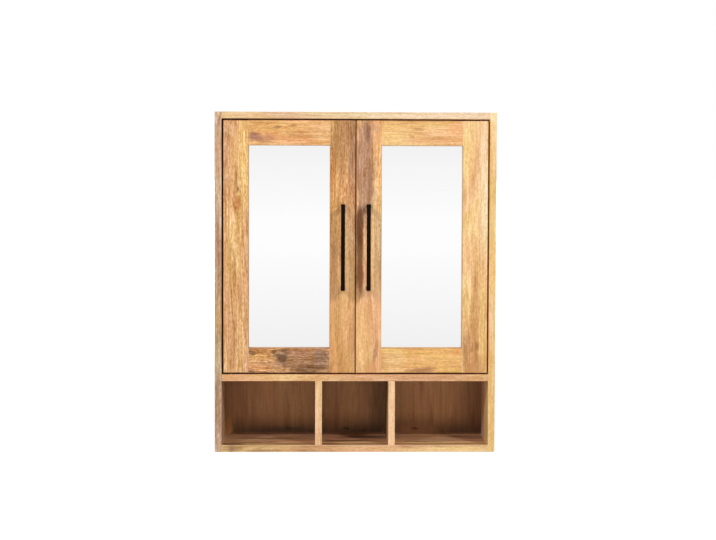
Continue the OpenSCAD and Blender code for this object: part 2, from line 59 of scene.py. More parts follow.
# Camera
# The front is seen almost square on through a 70 mm lens, 3.3 m away and a little left of the
# middle. The camera tips down slightly, and a small shift of the lens takes the view further down.
camera_data = bpy.data.cameras.new("camera")
camera_data.sensor_width = 36
camera_data.lens = 70
camera_data.shift_y = -0.055
camera = bpy.data.objects.new("camera", camera_data)
camera.location = (-0.0725, -3.4248, -0.0954)
turned, tipped, rolled = (math.radians(degrees) for degrees in (1.369, 2.383, 0.215))
aim = Vector((math.sin(turned) * math.cos(tipped), math.cos(turned) * math.cos(tipped), -math.sin(tipped)))
camera.rotation_mode = "QUATERNION"
camera.rotation_quaternion = aim.to_track_quat("-Z", "Y") @ Quaternion((0, 0, 1), rolled)
bpy.context.scene.collection.objects.link(camera)
bpy.context.scene.camera = camera
bpy.context.scene.view_settings.view_transform = "Standard"


# Studio
# A plain pale floor under the cabinet's foot, a white surround, and two small soft lamps at the
# front, left and right of the camera and above it. The mirrors see the floor and the surround.
def paint(hex_colour):
    """A colour written as six hexadecimal digits, as the linear colour that a shader takes."""
    parts = [int(hex_colour[i:i + 2], 16) / 255 for i in (0, 2, 4)]
    return tuple(c / 12.92 if c <= 0.04045 else ((c + 0.055) / 1.055) ** 2.4 for c in parts) + (1.0,)


def grey(level):
    return (level, level, level, 1.0)


class Value:
    """An output of a node; arithmetic on it adds Math nodes beside that node."""

    def __init__(self, nodes, socket):
        self.nodes = nodes
        self.socket = socket

    def __add__(self, other):
        return self.nodes.math("ADD", self, other)

    __radd__ = __add__

    def __sub__(self, other):
        return self.nodes.math("SUBTRACT", self, other)

    def __rsub__(self, other):
        return self.nodes.math("SUBTRACT", other, self)

    def __mul__(self, other):
        return self.nodes.math("MULTIPLY", self, other)

    __rmul__ = __mul__

    def __truediv__(self, other):
        return self.nodes.math("DIVIDE", self, other)

    def __pow__(self, other):
        return self.nodes.math("POWER", self, other)


class Nodes:
    """A node tree that is being filled."""

    def __init__(self, tree):
        self.tree = tree
        tree.nodes.clear()

    def node(self, kind, settings=None, sockets=None, out=0):
        """Adds a node: its settings first, then a value, a link or a list of them for each socket."""
        made = self.tree.nodes.new(kind)
        for key, value in (settings or {}).items():
            if key == "stops":
                ramp = made.color_ramp.elements
                for place, colour in value[2:]:
                    ramp.new(place)
                for stop, (place, colour) in zip(ramp, value):
                    stop.position = place
                    stop.color = colour
            else:
                setattr(made, key, value)
        for key, given in (sockets or {}).items():
            for value in given if isinstance(given, list) else [given]:
                if isinstance(value, Value):
                    self.tree.links.new(value.socket, made.inputs[key])
                else:
                    made.inputs[key].default_value = value
        return Value(self, made.outputs[out]) if made.outputs else None

    def math(self, operation, first, second=0.0):
        return self.node("ShaderNodeMath", {"operation": operation}, {0: first, 1: second})


class Finish(Nodes):
    """A finish being mixed: a material, or the studio's world, and the nodes put into it."""

    def __init__(self, owner):
        owner.use_nodes = True
        super().__init__(owner.node_tree)
        self.owner = owner

    def here(self):
        """The place, in the piece's own coordinates."""
        return self.node("ShaderNodeTexCoord", out=3)

    def facing(self):
        """The direction that the surface faces."""
        return self.node("ShaderNodeTexCoord", out=1)

    def part(self, vector, axis):
        """One part of a vector: 0, 1 or 2 for x, y or z."""
        return self.node("ShaderNodeSeparateXYZ", None, {0: vector}, axis)

    def rays(self):
        """Whether a ray comes from the camera, and whether by way of a mirror or glass."""
        camera_ray, glossy, through = (self.node("ShaderNodeLightPath", out=i) for i in (0, 3, 6))
        return camera_ray, glossy + through

    def vector(self, operation, first, second):
        sockets = {0: first, ("Scale" if operation == "SCALE" else 1): second}
        return self.node("ShaderNodeVectorMath", {"operation": operation}, sockets)

    def length(self, vector):
        return self.node("ShaderNodeVectorMath", {"operation": "LENGTH"}, {0: vector}, 1)

    def mix(self, share, first, second, blend="MIX"):
        """The second colour over the first, by a share."""
        settings = {"data_type": "RGBA", "blend_type": blend}
        return self.node("ShaderNodeMix", settings, {0: share, 6: first, 7: second}, 2)

    def step(self, value, low, high):
        """0 below low and 1 above high, smooth between them; the other way round if high is less."""
        sockets = {"Value": value, "From Min": low, "From Max": high}
        return self.node("ShaderNodeMapRange", {"interpolation_type": "SMOOTHSTEP"}, sockets)

    def noise(self, place, scale, detail=2.0, rough=0.5, out=0):
        sockets = {"Vector": place, "Scale": scale, "Detail": detail, "Roughness": rough}
        return self.node("ShaderNodeTexNoise", None, sockets, out)

    def bump(self, height, strength, distance):
        sockets = {"Strength": strength, "Distance": distance, "Height": height}
        return self.node("ShaderNodeBump", None, sockets)

    def surface(self, sockets):
        """Ends the finish in a Principled shader with these sockets."""
        shader = self.node("ShaderNodeBsdfPrincipled", None, sockets)
        self.node("ShaderNodeOutputMaterial", None, {"Surface": shader})
        return self.owner


# The surround is white to the camera, a pale sky to the mirrors and a weak even light to the rest
SURROUND, HORIZON, SKY = grey(0.31), grey(0.94), grey(0.895)
SKY_FOOT, SKY_HEAD = -0.004, 0.024
world = bpy.data.worlds.new("studio")
bpy.context.scene.world = world
studio = Finish(world)
seen, mirrored = studio.rays()
height = studio.part(studio.node("ShaderNodeTexCoord"), 2)
above = studio.mix(studio.step(height, SKY_FOOT, SKY_HEAD), HORIZON, SKY)
light = studio.mix(mirrored, SURROUND, above)
shown = studio.node("ShaderNodeBackground", None, {"Color": studio.mix(seen, light, grey(1.0))})
studio.node("ShaderNodeOutputWorld", None, {"Surface": shown})

# The floor is white to the camera, but for a faint shadow that fades out away from the cabinet. The
# mirrors see the sweep, which runs from far off at 0 to close by at 1.
FLOOR_HALF = 120.0
FLOOR_DROP = 0.1 * MM
FLOOR_GLOW = grey(1.27)
SHADOW_SHARE = 0.3
SHADOW_NONE, SHADOW_FULL = 2.4, 1.2
MIRROR_REACH = 3.3
MIRROR_SWEEP = [
    (0.0, HORIZON), (0.085, grey(0.963)), (0.16, grey(0.995)), (0.255, grey(0.997)), (0.31, grey(0.98)),
    (0.43, grey(0.945)), (0.57, grey(0.898)), (0.65, grey(0.87)), (1.0, grey(0.80))]
bpy.ops.mesh.primitive_plane_add(size=2 * FLOOR_HALF, location=(0, 0, 0))
floor = bpy.context.object
floor.name = "floor"
floor.location.z = cad_box[0].z - FLOOR_DROP
ground = Finish(bpy.data.materials.new("pale_floor"))
spot = ground.here()
reach = ground.length(spot)
near = ground.math("DIVIDE", MIRROR_REACH, reach + MIRROR_REACH)
sweep = ground.node("ShaderNodeValToRGB", {"stops": MIRROR_SWEEP}, {0: near})
mottle = ground.mix(ground.noise(spot, 35.0, 3.0), grey(0.86), grey(0.9))
matt = ground.node("ShaderNodeBsdfDiffuse", None, {"Color": mottle})
seen, mirrored = ground.rays()
white = ground.node("ShaderNodeEmission", None, {"Color": ground.mix(seen, sweep, FLOOR_GLOW)})
shaded = SHADOW_SHARE * ground.step(reach, SHADOW_NONE, SHADOW_FULL)
share = ground.math("MINIMUM", seen * (1 - shaded) + mirrored, 1.0)
both = ground.node("ShaderNodeMixShader", None, {0: share, 1: matt, 2: white})
ground.node("ShaderNodeOutputMaterial", None, {"Surface": both})
floor.data.materials.append(ground.owner)

CABINET_MIDDLE = Vector((0, -0.16, -0.35))
LAMP_SIZE = 0.5
for name, across, watts in (("left_lamp", -2.2, 60), ("right_lamp", 2.25, 66)):
    lamp_data = bpy.data.lights.new(name, "AREA")
    lamp_data.shape = "SQUARE"
    lamp_data.size = LAMP_SIZE
    lamp_data.energy = watts
    lamp = bpy.data.objects.new(name, lamp_data)
    lamp.location = (across, -2.6, 2.0)
    lamp.rotation_mode = "QUATERNION"
    lamp.rotation_quaternion = (CABINET_MIDDLE - lamp.location).to_track_quat("-Z", "Y")
    bpy.context.scene.collection.objects.link(lamp)


# Side panels
# Two solid mango boards, each glued up from two staves, with the grain upright. Their front
# edges are one stave: the left one greyish pink, the right one honey yellow. Satin lacquer.
GRAIN = {"X": Vector((1, 0, 0)), "Z": Vector((0, 0, 1))}
# How far apart in the tree two pieces are cut, and two staves of one board
CUT_STEP = (1.37, 0.71, 2.13)
STAVE_STEP = (3.7, 1.9, 5.3)
REDDISH, GREENISH = (1, 0.91, 0.9, 1), (0.985, 1, 0.82, 1)
# Painted shade in the gaps round the doors, round the mirrors and beside the doorway: how far from an edge
# it runs, how much it warms, how dark it is by the mirrors, and its warm and dark colours
GAP_SHADE_START, GAP_SHADE_END = 0.3 * MM, 2.2 * MM
GAP_SHADE_WARMTH, MIRROR_EDGE_SHADE = 0.45, 0.35
WARM_GAP_SHADE, DARK_GAP_SHADE = paint("F0B060"), paint("4A2006")
# The arrises' paler colour, partly from use and partly painted highlight, and how far from an edge it runs
ARRIS_WEAR_AND_HIGHLIGHT = paint("FFE9C8")
WEAR_AND_HIGHLIGHT_FROM, WEAR_AND_HIGHLIGHT_TO = 2.0 * MM, 0.6 * MM
DOORWAY = (Vector((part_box("left_side_panel")[1].x, 0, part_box("middle_shelf")[1].z)),
           Vector((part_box("right_side_panel")[0].x, 0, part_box("top_board")[0].z)))


def dress(node, material):
    """Gives a CAD node its finish."""
    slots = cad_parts[node].data.materials
    slots.clear()
    slots.append(material)


def grained(finish, place, grain, long, scale, detail, rough=0.5, out=0):
    """Noise whose spots are drawn out along the grain, so many times as long as they are wide."""
    shrink = Vector((1, 1, 1)) - GRAIN[grain] * (1 - 1 / long)
    return finish.noise(finish.vector("MULTIPLY", place, shrink), scale, detail, rough, out)


def shift(finish, noise, size):
    """The colours of a noise as a shift to all sides."""
    return finish.vector("SCALE", finish.vector("SUBTRACT", noise, (0.5, 0.5, 0.5)), size)


def on_front(finish, facing):
    """1 on faces that look to the front, 0 on the others."""
    return finish.step(finish.part(facing, 1), -0.3, -0.7)


def depths_of(finish, place, low, high):
    """How far a place lies inside the faces of a box, along x, y and z; less than 0 outside."""
    apart = finish.vector("ABSOLUTE", finish.vector("SUBTRACT", place, (low + high) / 2), (0, 0, 0))
    depths = finish.vector("SUBTRACT", (high - low) / 2, apart)
    return [finish.part(depths, axis) for axis in range(3)]


def inside_of(finish, place, low, high):
    """How far a place lies inside a rectangle of the front, and less than 0 outside it."""
    across, _, up = depths_of(finish, place, low, high)
    return finish.math("MINIMUM", across, up)


def near_edge(finish, place, low, high):
    """The distance to the nearest edge of a box, from a place on its surface."""
    first, second, third = depths_of(finish, place, low, high)
    nearer = finish.math("MINIMUM", first, second)
    further = finish.math("MAXIMUM", first, second)
    return finish.math("MAXIMUM", nearer, finish.math("MINIMUM", further, third))


def mark(x, z, wide, high, colour, depth=0.8, turn=0.0, soft=0.5, fray=1.0, flat=False,
         front=False, behind=False):
    """A knot, stain or streak in a board, or a patch of painted shade or painted light on it: its middle and
    half sizes on the front, in millimetres.
    On a board that lies flat, the second of each pair runs toward the back. A front mark lies
    on the front face alone, and one behind only on the staves behind the front one."""
    middle = (x * MM, z * MM, 0) if flat else (x * MM, 0, z * MM)
    half = (wide * MM, high * MM, 1.0) if flat else (wide * MM, 1.0, high * MM)
    turned = (0, 0, math.radians(turn)) if flat else (0, math.radians(turn), 0)
    return dict(middle=middle, half=half, colour=paint(colour), depth=depth, turned=turned, soft=soft,
                fray=fray, seen=(1, 1, 0) if flat else (1, 0, 1), front=front, behind=behind)


def wood(node, grain, pale, deep, vein, cut, bands=(0.38, 0.66), grit=0.8, lines=0.35, wear_and_highlight=0.3,
         stave=None, rear_shade=None, marks=(), knots=(), calm=None, edge=None, rim=False, rough=0.5,
         warmed=1.0, flecks=1.0):
    """Dresses a board in mango wood: broad bands and growth lines that wander along the grain and
    bend around its knots, short fibres and pores, its own stains, painted shade and painted light,
    and arrises paled partly by use and partly as painted highlight.
    Pale, deep and vein are its colours, and bands say where pale turns deep. Cut is its place in
    the tree. Grit, lines, flecks, warmed and the paling of the arrises are strengths. Stave is the
    width of the staves it is glued up from, and the tint given to those behind the front one is
    painted shade for the board's inside. Calm gives two heights, and the share of the fine figure that
    is left at the first. Edge is how dark a door member is painted with shade along its door's
    outline, in the gaps that lie in shadow. With rim, the front is given a warm painted shade beside
    the doorway. Rough is how matt its surface is."""
    made = Finish(bpy.data.materials.new(node + "_wood"))
    here, facing = made.here(), made.facing()
    place = made.vector("ADD", here, tuple(cut * step for step in CUT_STEP))
    if stave:
        count = made.part(here, 1) / (stave * MM)
        number = made.math("FLOOR", count)
        steps = {axis: number * step for axis, step in enumerate(STAVE_STEP)}
        place = made.vector("ADD", place, made.node("ShaderNodeCombineXYZ", None, steps))
        seam = made.step(made.math("PINGPONG", count, 0.5), 0.0, 0.5 / stave)
        foremost = math.floor(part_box(node)[0].y / (stave * MM))
        rearward = made.step(number, foremost + 0.1, foremost + 0.9)

    # The fibres wander, and part around the knots
    sway = shift(made, grained(made, place, grain, 5, 9.0, 2.0, out=1), 0.045)
    for x, z, wide, high, swell in knots:
        apart = made.vector("MULTIPLY", made.vector("SUBTRACT", here, (x * MM, 0, z * MM)),
                            (1 / (wide * MM), 0, 1 / (high * MM)))
        bent = made.vector("MULTIPLY", apart, (Vector((1, 0, 1)) - GRAIN[grain]) * -swell * MM)
        close = made.step(made.length(apart), 2.4, 0.2)
        sway = made.vector("ADD", sway, made.vector("SCALE", bent, close))
    swayed = made.vector("ADD", place, sway)
    shiver = shift(made, made.noise(place, 70.0, 3.0, 0.6, out=1), 0.012)

    # The figure, from broad bands down to single pores
    broad = grained(made, swayed, grain, 9, 48.0, 3.0, 0.6)
    drift = grained(made, place, grain, 4, 11.0, 1.0)
    figure = made.step(grained(made, place, grain, 2.5, 17.0, 2.0), 0.36, 0.64)
    thread = grained(made, swayed, grain, 40, 430.0, 1.0)
    streak = grained(made, swayed, grain, 5, 85.0, 3.0, 0.6)
    rough_place = made.vector("ADD", swayed, made.vector("SCALE", shiver, 0.3))
    fibre = grained(made, rough_place, grain, 3.5, 430.0, 1.0)
    fleck_place = made.vector("ADD", swayed, made.vector("SCALE", shiver, 0.2))
    fleck = made.step(grained(made, fleck_place, grain, 8, 290.0, 2.0, 0.55), 0.53, 0.72)
    rings = made.math("PINGPONG", grained(made, swayed, grain, 14, 20.0, 1.0) * 15.0, 0.5)
    line = made.step(rings, 0.2, 0.02)
    pore = made.step(grained(made, place, grain, 9, 1100.0, 1.0), 0.6, 0.7)

    # The wood's own colours, then its marks
    band = 0.12 + 0.76 * made.step(broad * 0.75 + drift * 0.25, *bands)
    colour = made.mix(band, paint(pale), paint(deep))
    warmth = made.step(grained(made, place, grain, 4.5, 27.0, 2.0), 0.38, 0.62)
    colour = made.mix(warmed, colour, made.mix(warmth, REDDISH, GREENISH), "MULTIPLY")
    colour = made.mix(line * (0.4 + band) * lines, colour, paint(vein))
    ragged = made.vector("ADD", shiver, made.vector("SCALE", sway, 0.15))
    for spot in marks:
        moved = made.vector("ADD", here, made.vector("SCALE", ragged, spot["fray"]))
        around = made.node("ShaderNodeMapping", {"vector_type": "TEXTURE"}, {
            "Vector": moved, "Location": spot["middle"], "Rotation": spot["turned"], "Scale": spot["half"]})
        near = made.length(made.vector("MULTIPLY", around, spot["seen"]))
        share = made.step(near + 1.6 * spot["fray"] * (streak - 0.5), 1 + spot["soft"], 1 - spot["soft"])
        if spot["front"]:
            share = share * on_front(made, facing)
        if spot["behind"]:
            share = share * rearward
        colour = made.mix(share * spot["depth"], colour, spot["colour"])

    # The fine figure makes it lighter and darker, end grain and glue lines darker
    if calm:
        lower, upper, left = calm
        along = made.part(here, "XYZ".index(grain))
        grit = grit * (left + (1 - left) * made.step(along, lower * MM, upper * MM))
    streaks = (0.2 + 0.3 * figure) * (streak - 0.5)
    specks = (0.04 + 0.12 * figure) * flecks * fleck
    tone = 1.02 + grit * (0.7 * (thread - 0.5) + streaks + 0.75 * (fibre - 0.5) - specks - 0.07 * pore)
    end = made.math("ABSOLUTE", made.part(facing, "XYZ".index(grain)))
    tone = tone * (1.0 - 0.25 * made.step(end, 0.75, 0.95))
    if stave:
        tone = tone * (0.72 + 0.28 * seam)
        # The staves behind the front one are darkened by a tint: painted shade for the insides of the
        # cubbies
        if rear_shade:
            colour = made.mix(rearward, colour, paint(rear_shade), "MULTIPLY")
    deeper = made.node("ShaderNodeCombineXYZ", None, {0: tone, 1: tone ** 1.7, 2: tone ** 3.0})
    colour = made.vector("MULTIPLY", colour, deeper)

    # Arrises paled partly by use and partly as painted highlight, and painted shade in the gaps round the
    # doors and the mirrors
    arris_wear_and_highlight = made.step(near_edge(made, here, *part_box(node)) + 0.0015 * (fibre - 0.5), WEAR_AND_HIGHLIGHT_FROM, WEAR_AND_HIGHLIGHT_TO)
    colour = made.mix(arris_wear_and_highlight * wear_and_highlight, colour, ARRIS_WEAR_AND_HIGHLIGHT)
    # Painted shade along each door's outline, where the gaps lie in shadow, and round its mirror's opening
    if edge is not None:
        door = node.split("_")[0]
        first, last = sorted((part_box(door + "_hinge_stile"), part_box(door + "_meeting_stile")),
                             key=lambda box: box[0].x)
        over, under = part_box(door + "_top_rail"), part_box(door + "_bottom_rail")
        by_gap = made.step(inside_of(made, here, first[0], last[1]), GAP_SHADE_END, GAP_SHADE_START)
        colour = made.mix(by_gap * GAP_SHADE_WARMTH, colour, WARM_GAP_SHADE, "MULTIPLY")
        colour = made.mix(by_gap * edge, colour, DARK_GAP_SHADE)
        low, high = Vector((first[1].x, 0, under[1].z)), Vector((last[0].x, 0, over[0].z))
        by_mirror = made.step(inside_of(made, here, low, high), -GAP_SHADE_END, -GAP_SHADE_START)
        colour = made.mix(MIRROR_EDGE_SHADE * by_mirror, colour, DARK_GAP_SHADE)
    # With rim, a warm painted shade on the case's front beside the doorway, at the door gaps
    if rim:
        by_gap = made.step(inside_of(made, here, *DOORWAY), -GAP_SHADE_END, -GAP_SHADE_START)
        colour = made.mix(by_gap * on_front(made, facing) * GAP_SHADE_WARMTH, colour, WARM_GAP_SHADE, "MULTIPLY")

    relief = streak * 0.3 + fibre * 0.4 + broad * 0.2 - pore * 0.6 - line * 0.1
    dress(node, made.surface({
        "Base Color": colour, "Roughness": rough + 0.2 * (fibre - 0.5) - 0.08 * arris_wear_and_highlight + 0.1 * pore,
        "Normal": made.bump(relief, 0.1, 0.2 * MM), "Specular IOR Level": 0.3, "Coat Weight": 0.05,
        "Coat Roughness": 0.3}))


STAVE = 90.0
# A light paling of the arrises, partly use and partly painted highlight
LIGHT_WEAR_AND_HIGHLIGHT = 0.12
# Behind its front stave it is tinted darker, painted shade for its inside
wood("left_side_panel", "Z", "E9CEAD", "BE9B7E", "937357", cut=1.0, grit=0.95, wear_and_highlight=LIGHT_WEAR_AND_HIGHLIGHT,
     stave=STAVE, rear_shade="D4D2CC", rim=True, marks=[
         mark(-321, 24, 3.5, 10, "A8664C", 0.7, soft=0.8), mark(-320, -60, 9, 45, "D6A67E", 0.5),
         mark(-323, -300, 8, 120, "A4775A", 0.55), mark(-319, -430, 8, 50, "C79A62", 0.7),
         mark(-323, -655, 9, 70, "A57A5C", 0.6), mark(-320, -588, 10, 24, "A07A5E", 0.6),
         mark(-328, 28, 5, 10, "F6E2D2", 0.5), mark(-328, -732, 6, 24, "BC9C84", 0.5),
         # On the inner face, in the cubby: painted shade, and behind the front stave painted light
         mark(-314, -654, 1.3, 90, "4A3020", 0.35, fray=0.0),
         mark(-314, -672, 1.3, 76, "E0B68A", 0.65, fray=0.0, behind=True)])
wood("right_side_panel", "Z", "FDDDA6", "E6B973", "CC9855", cut=2.0, grit=0.55, wear_and_highlight=LIGHT_WEAR_AND_HIGHLIGHT,
     stave=STAVE, rim=True, marks=[
         mark(322, 35, 9, 14, "FBE2B4", 0.7), mark(322, -330, 9, 70, "ECB862", 0.6),
         mark(324, -620, 8, 140, "E8B461", 0.6),
         # On the inner face, in the cubby: painted shade, deeper behind the front stave
         mark(314, -640, 9, 120, "C9A8BA", 0.6, soft=0.3, behind=True),
         mark(314, -654, 1.3, 90, "B0805C", 0.25, fray=0.0)])


# Boards between the sides
# The top board, the bottom board and the shelf that carries the doors: solid mango boards with the
# grain across the cabinet. The first two are doweled to the sides, the shelf is housed into them.
def lying(x, y, wide, deep, colour, depth, turn=0.0, soft=0.5, fray=1.0):
    """A mark on a board that lies flat, seen from above."""
    return mark(x, y, wide, deep, colour, depth, turn, soft, fray, flat=True)


NARROW_STAVE = 60.0
wood("top_board", "X", "EBCEA9", "D8B486", "C59A6F", cut=3.0, grit=0.55, wear_and_highlight=LIGHT_WEAR_AND_HIGHLIGHT,
     stave=STAVE, rim=True, marks=[
         mark(-270, 38, 60, 9, "E6BB80", 0.6), mark(170, 38, 160, 9, "FBE0BE", 0.6),
         mark(-10, 38, 100, 9, "EFD2A8", 0.5)])
# On the cubby floors the staves behind the front one are tinted darker as painted shade, and the patches
# lying on them are partly the wood's figure and partly painted shade.
wood("bottom_board", "X", "EAC190", "CA9C67", "A8794B", cut=4.0, grit=0.5, lines=0.4,
     stave=NARROW_STAVE, rear_shade="D9D3E4", marks=[
         mark(222, -749, 125, 6.5, "FCD89A", 0.7), mark(-220, -751, 40, 4, "A8825C", 0.6),
         mark(-110, -751, 24, 4, "B08A60", 0.5), lying(-250, -128, 60, 6, "6A4630", 0.8, turn=4),
         lying(-290, -147, 30, 17, "6E4C34", 0.85), lying(-54, -147, 22, 14, "86603F", 0.75),
         lying(-190, -80, 100, 9, "7E5A3C", 0.7, turn=-4), lying(-140, -135, 50, 4, "6E4A32", 0.7),
         lying(-230, -55, 60, 9, "C9A27A", 0.5), lying(-20, -110, 62, 11, "634024", 0.8, turn=6),
         lying(30, -60, 62, 20, "553620", 0.8), lying(20, -140, 40, 4, "CBA070", 0.6),
         lying(150, -120, 50, 6, "7A5236", 0.8, turn=-4), lying(200, -90, 80, 18, "C39A72", 0.5),
         lying(270, -60, 50, 18, "74503A", 0.6, turn=-8), lying(240, -140, 60, 5, "8A6444", 0.6),
         lying(-112, -50, 28, 16, "C49C78", 0.65),
         lying(0, -147, 340, 12, "7E5638", 0.6, soft=0.4, fray=0.3),
         lying(292, -50, 26, 16, "BE9670", 0.65)])
wood("middle_shelf", "X", "F9CD9B", "E3AE7A", "C58B5E", cut=5.0, grit=0.65, wear_and_highlight=LIGHT_WEAR_AND_HIGHLIGHT,
     stave=STAVE, rim=True, marks=[
         mark(60, -578, 150, 9, "DDA47E", 0.6), mark(225, -578, 100, 9, "CE9868", 0.5)])

# Dividers
# Two short upright mango boards that part the space under the doors into three cubbies. They are
# housed into the bottom board and into the shelf above.
# Both dividers' staves behind the front one take a darker tint, painted shade inside the cubbies
wood("left_divider", "Z", "FAD2A5", "E5B586", "D19F70", cut=6.0, grit=0.5, stave=STAVE, rear_shade="BBB3A6")
left_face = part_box("right_divider")[0].x / MM
wood("right_divider", "Z", "FFDAA9", "F0C089", "DAA775", cut=7.0, grit=0.5, stave=STAVE,
     rear_shade="8C7866", marks=[
         # Painted shade on the divider's left face, inside the middle cubby
         mark(left_face, -654, 1.3, 100, "3A2210", 0.5, fray=0.0),
         mark(left_face, -598, 1.3, 26, "2A1808", 0.4, fray=0.0)])


# Back panel and wall rails
# A brown plywood panel let into grooves, and behind it two solid rails against the wall: the
# hanging rail takes the two wall screws and the lower one keeps the case plumb.
def shade(x, z, wide, high, colour, depth, soft=0.8, fray=0.2):
    """A soft painted shade on the front of the back panel."""
    return mark(x, z, wide, high, colour, depth, soft=soft, fray=fray, front=True)


# Its colours are darker than the other boards', standing in part for the shade inside the cubbies. Its soft
# marks paint the shade at the foot of the cubbies and beside their walls, eased lighter in places, and a
# patch of painted light in the left cubby's corner.
wood("back_panel", "Z", "C29669", "A7784F", "81573F", cut=8.0, grit=0.3, lines=0.25, wear_and_highlight=0.0,
     rough=0.6, warmed=0.4, marks=[
         shade(0, -748, 1500, 40, "3B2413", 0.7, soft=0.7), shade(-165, -735, 100, 14, "24140A", 0.65),
         shade(50, -744, 70, 20, "2A180C", 0.6), shade(240, -744, 90, 18, "2A180C", 0.6),
         shade(68, -670, 26, 120, "301D0F", 0.42), shade(294, -660, 34, 130, "472512", 0.42),
         shade(0, -738, 1500, 4.5, "8E6040", 0.55, soft=0.5, fray=0.3),
         shade(-314, -610, 24, 60, "472817", 0.35),
         mark(-308, -726, 9, 26, "D09858", 0.8, soft=0.6, front=True),
         mark(152, -727, 66, 15, "A8744A", 0.5, front=True), mark(-156, -724, 9, 2.2, "38220F", 0.8),
         mark(-19, -724, 9, 2.4, "38220F", 0.8), mark(149, -724, 10, 2.2, "38220F", 0.8)])
for rail, cut in (("hanging_rail", 9.0), ("lower_rail", 10.0)):
    wood(rail, "X", "DDB07C", "BE8C5A", "9A6C42", cut, rough=0.6)

# Inner shelf
# One loose mango board behind the doors, glued up from narrow staves. It lies on four angle
# supports, whose pins sit in holes in the side panels.
wood("inner_shelf", "X", "EBC08A", "D0A068", "AC7E4C", cut=11.0, stave=NARROW_STAVE)

# Dowels
# Plain beech pins, glued into blind holes in the side panels and in the ends of the top board,
# the bottom board and the two wall rails.
wood("case_dowels", "X", "E6C69C", "D4AE80", "B98F62", cut=12.0, wear_and_highlight=0.0, rough=0.6)


# Door frames
# Each door is four solid members: two stiles the full height and two rails tenoned between
# them. Every member is its own piece of mango, with its own colour, streaks and stains; beside the handles
# the meeting stiles also carry painted shadow and painted light.
def member(node, pale, deep, vein, cut, edge, grit, **more):
    """One member of a door's frame, with the grain along it."""
    grain = "X" if node.endswith("rail") else "Z"
    wood(node, grain, pale, deep, vein, cut, grit=grit, wear_and_highlight=LIGHT_WEAR_AND_HIGHLIGHT, edge=edge, **more)


member("left_hinge_stile", "F2C28D", "D29E60", "AD723E", cut=13.0, edge=0.95, grit=1.12, lines=0.6,
       bands=(0.32, 0.72), knots=[(-277, -168, 9, 20, 8), (-276, -134, 6, 12, 5)], marks=[
           mark(-303, -60, 7, 90, "D8A682", 0.6), mark(-298, 4, 12, 12, "EEC296", 0.6, soft=0.7),
           mark(-270, -118, 6, 16, "D09A5E", 0.55), mark(-262, -60, 12, 110, "EDBE74", 0.7),
           mark(-279, -110, 3, 34, "A67440", 0.6, soft=0.7), mark(-276, -134, 2.2, 5, "8A5A2C", 0.9),
           mark(-284, -176, 2, 16, "A9703C", 0.7, turn=-14), mark(-277, -168, 7, 11, "CD8A50", 0.8),
           mark(-284, -330, 5, 60, "B98048", 0.5), mark(-289, -520, 7, 50, "BD8650", 0.6),
           mark(-257, -545, 6, 30, "E0AA84", 0.6)])
member("left_top_rail", "F7C78D", "E1A468", "B17843", cut=14.0, edge=0.3, grit=0.8, marks=[
    mark(-238, -12, 15, 10, "98624E", 0.85), mark(-212, -17, 22, 8, "BC8462", 0.6),
    mark(-185, 10, 12, 3, "96693A", 0.7), mark(-150, 14, 10, 2.5, "9C6E3E", 0.5),
    mark(-80, 6, 25, 28, "EBBB84", 0.5)])
member("left_meeting_stile", "EBB276", "C48951", "946338", cut=15.0, edge=0.2, grit=1.3,
       flecks=0.6, calm=(-400, -190, 0.5), marks=[
           mark(-30, -20, 32, 75, "9C7242", 0.6, soft=0.6), mark(-8, -60, 8, 110, "A0785A", 0.55),
           mark(-50, -110, 5, 70, "D08A4C", 0.6), mark(-8, -480, 6, 90, "C48E68", 0.5),
           # Painted light to the right of the handle
           mark(-14, -262, 11, 104, "F6C28A", 0.6, soft=0.4),
           mark(-30, -370, 26, 130, "E6B47A", 0.5, soft=0.7)])
member("left_bottom_rail", "E7AC6E", "C18454", "805632", cut=16.0, edge=0.7, grit=1.75,
       knots=[(-174, -531, 18, 12, 9), (-246, -520, 10, 6, 5)], marks=[
           mark(-120, -540, 75, 34, "9C7050", 0.75, soft=0.6), mark(-66, -537, 11, 15, "94683F", 0.55),
           mark(-174, -531, 15, 15, "6A4A32", 0.85), mark(-162, -521, 11, 8, "70503A", 0.7),
           mark(-135, -520, 24, 9, "B98464", 0.7), mark(-80, -528, 17, 18, "8C6C54", 0.7),
           mark(-108, -556, 40, 8, "704A28", 0.75), mark(-246, -520, 10, 5, "7C5232", 0.8),
           mark(-192, -518, 7, 3.5, "7C5028", 0.9), mark(-246, -562, 10, 5, "8A5A3A", 0.7),
           mark(-176, -562, 22, 7, "E2AE7C", 0.7), mark(-205, -545, 30, 9, "E0AC7C", 0.5)])
member("right_meeting_stile", "FAC894", "DBA36A", "A16F51", cut=17.0, edge=0.2, grit=1.0,
       flecks=0.5, calm=(-400, -190, 0.62), marks=[
           mark(22, -90, 20, 130, "A4765C", 0.78, soft=0.45), mark(25, -2, 7, 24, "7E5B50", 0.55),
           mark(38, -110, 5, 75, "8A6A58", 0.35), mark(8, -45, 8, 62, "C08E6C", 0.8),
           # Painted shadow of the handle: an arc at its top and a band down its left side, partly also dark
           # wood; the pale patch to its right is painted light
           mark(17, -183, 9, 10, "7E5C46", 0.6, soft=0.6),
           mark(10.5, -222, 8, 46, "7C4620", 0.85, soft=0.3, fray=0.4),
           mark(10.5, -283, 7.5, 84, "7C4620", 0.82, soft=0.4, fray=0.4),
           mark(10.5, -344, 8, 46, "94582E", 0.85, soft=0.3, fray=0.4),
           mark(54, -110, 7, 140, "EDB870", 0.5), mark(47, -268, 13, 106, "FFCC90", 0.65, soft=0.4),
           mark(46, -520, 5, 34, "B58660", 0.75, turn=14), mark(4, -390, 6, 26, "E6AE7C", 0.6),
           mark(40, -560, 12, 24, "E09C68", 0.6), mark(20, -470, 16, 60, "F0B878", 0.5)])
